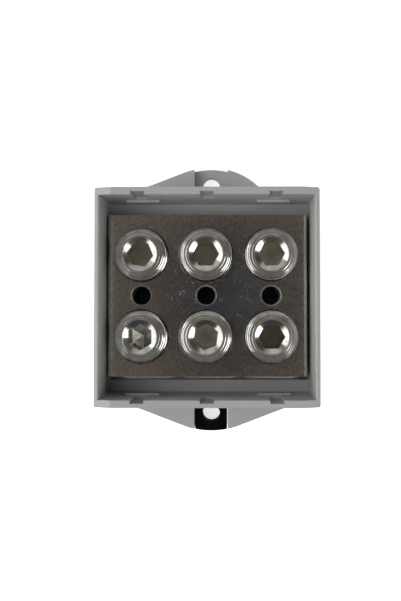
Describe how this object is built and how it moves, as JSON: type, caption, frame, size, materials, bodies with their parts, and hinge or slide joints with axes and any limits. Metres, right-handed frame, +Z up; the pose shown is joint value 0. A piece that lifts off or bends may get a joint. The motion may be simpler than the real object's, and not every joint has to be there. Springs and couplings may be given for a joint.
{
  "type": "bus bar terminal block",
  "caption": "Open moulded housing with a plated bus bar block, hex-socket clamp screws over through conductor bores, panel ears and a sliding rail latch.",
  "frame": {"origin": "on the base plane, midway between the two ear holes", "axes": "+Z up out of the open box, +Y towards the fixed rail hooks, -Y towards the rail latch"},
  "size_m": [0.0572, 0.082, 0.047],
  "materials": {
    "housing_plastic": "fine matt moulding",
    "tin_plate": "dull tin plate with drawn streaks",
    "zinc_steel": "bright zinc plate",
    "latch_plastic": "black moulding"
  },
  "bodies": {
    "housing": {"housing": "housing_plastic", "terminal_block": "tin_plate"},
    "clamp_screw_hook_left": {"clamp_screw_hook_left": "zinc_steel"},
    "clamp_screw_hook_middle": {"clamp_screw_hook_middle": "zinc_steel"},
    "clamp_screw_hook_right": {"clamp_screw_hook_right": "zinc_steel"},
    "clamp_screw_latch_left": {"clamp_screw_latch_left": "zinc_steel"},
    "clamp_screw_latch_middle": {"clamp_screw_latch_middle": "zinc_steel"},
    "clamp_screw_latch_right": {"clamp_screw_latch_right": "zinc_steel"},
    "rail_latch": {"rail_latch": "latch_plastic"}
  },
  "joints": [
    {"name": "clamp_screw_hook_left_travel", "type": "slide", "parent": "housing", "child": "clamp_screw_hook_left", "axis": [0, 0, 1], "range_m": [-0.0115, 0.005]},
    {"name": "clamp_screw_hook_middle_travel", "type": "slide", "parent": "housing", "child": "clamp_screw_hook_middle", "axis": [0, 0, 1], "range_m": [-0.0115, 0.005]},
    {"name": "clamp_screw_hook_right_travel", "type": "slide", "parent": "housing", "child": "clamp_screw_hook_right", "axis": [0, 0, 1], "range_m": [-0.0115, 0.005]},
    {"name": "clamp_screw_latch_left_travel", "type": "slide", "parent": "housing", "child": "clamp_screw_latch_left", "axis": [0, 0, 1], "range_m": [-0.0115, 0.005]},
    {"name": "clamp_screw_latch_middle_travel", "type": "slide", "parent": "housing", "child": "clamp_screw_latch_middle", "axis": [0, 0, 1], "range_m": [-0.0115, 0.005]},
    {"name": "clamp_screw_latch_right_travel", "type": "slide", "parent": "housing", "child": "clamp_screw_latch_right", "axis": [0, 0, 1], "range_m": [-0.0115, 0.005]},
    {"name": "rail_latch_travel", "type": "slide", "parent": "housing", "child": "rail_latch", "axis": [0, -1, 0], "range_m": [0, 0.0045]}
  ]
}
